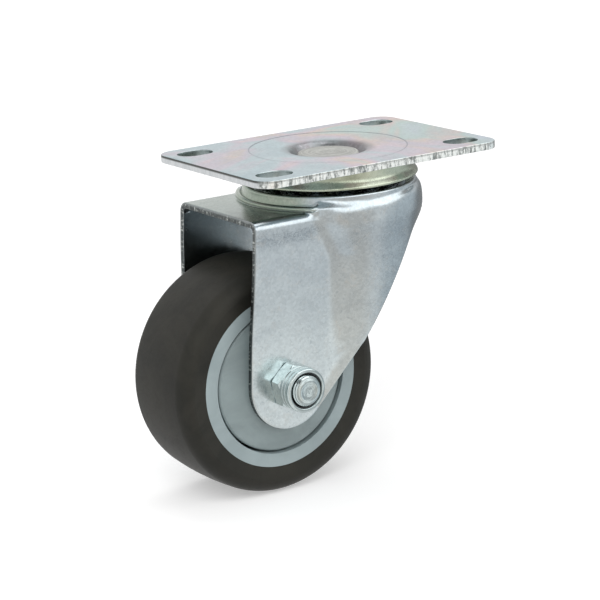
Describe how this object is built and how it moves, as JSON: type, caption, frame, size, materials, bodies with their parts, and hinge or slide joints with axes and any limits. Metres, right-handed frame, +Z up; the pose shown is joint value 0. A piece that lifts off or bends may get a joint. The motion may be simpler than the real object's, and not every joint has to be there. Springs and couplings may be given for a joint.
{
  "type": "swivel castor",
  "caption": "Swivel castor: a rubber-tyred wheel in a pressed steel fork that turns on ball races under a slotted rectangular mounting plate.",
  "frame": {"origin": "centre of the mounting plate's top face, on the swivel axis", "axes": "+Z up, out of the plate's top face along the swivel axis; X along the plate's long side, with the wheel trailing towards -X; Y along the axle, with the lock nut at -Y"},
  "size_m": [0.1155, 0.064, 0.106],
  "materials": {
    "plate_zinc": "blue-white zinc plating with faint iridescent tints",
    "race_zinc": "zinc plating with a faint olive tint",
    "fork_zinc": "satin zinc plating with a fine grain",
    "rivet_steel": "matt pressed steel",
    "fastener_zinc": "bright zinc plating",
    "insert_plastic": "dark nylon",
    "core_plastic": "moulded plastic, satin",
    "tyre_rubber": "moulded rubber, dull",
    "ball_steel": "polished and greased",
    "bearing_steel": "ground steel",
    "cage_steel": "pressed steel"
  },
  "bodies": {
    "plate": {"mounting_plate": "plate_zinc", "upper_race": "race_zinc", "king_rivet": "rivet_steel", "rivet_washer": "rivet_steel", "lower_race": "race_zinc", "upper_balls": "ball_steel", "lower_balls": "ball_steel"},
    "fork": {"fork": "fork_zinc", "axle_bolt": "fastener_zinc", "lock_nut": "fastener_zinc", "nut_insert": "insert_plastic", "axle_sleeve": "bearing_steel", "bearing_spacer": "bearing_steel", "inner_ring_head_side": "bearing_steel", "inner_ring_nut_side": "bearing_steel", "thread_guard_head_side": "core_plastic", "thread_guard_nut_side": "core_plastic"},
    "wheel": {"wheel_core": "core_plastic", "tyre": "tyre_rubber", "outer_ring_head_side": "bearing_steel", "outer_ring_nut_side": "bearing_steel", "wheel_balls_head_side": "ball_steel", "wheel_balls_nut_side": "ball_steel", "ball_cage_head_side": "cage_steel", "ball_cage_nut_side": "cage_steel", "bearing_shield_head_side": "bearing_steel", "bearing_shield_nut_side": "bearing_steel"}
  },
  "joints": [
    {"name": "swivel", "type": "hinge", "parent": "plate", "child": "fork", "pos_m": [0, 0, 0], "axis": [0, 0, 1], "continuous": true},
    {"name": "wheel_spin", "type": "hinge", "parent": "fork", "child": "wheel", "pos_m": [-0.032, 0, -0.0685], "axis": [0, 1, 0], "continuous": true}
  ]
}
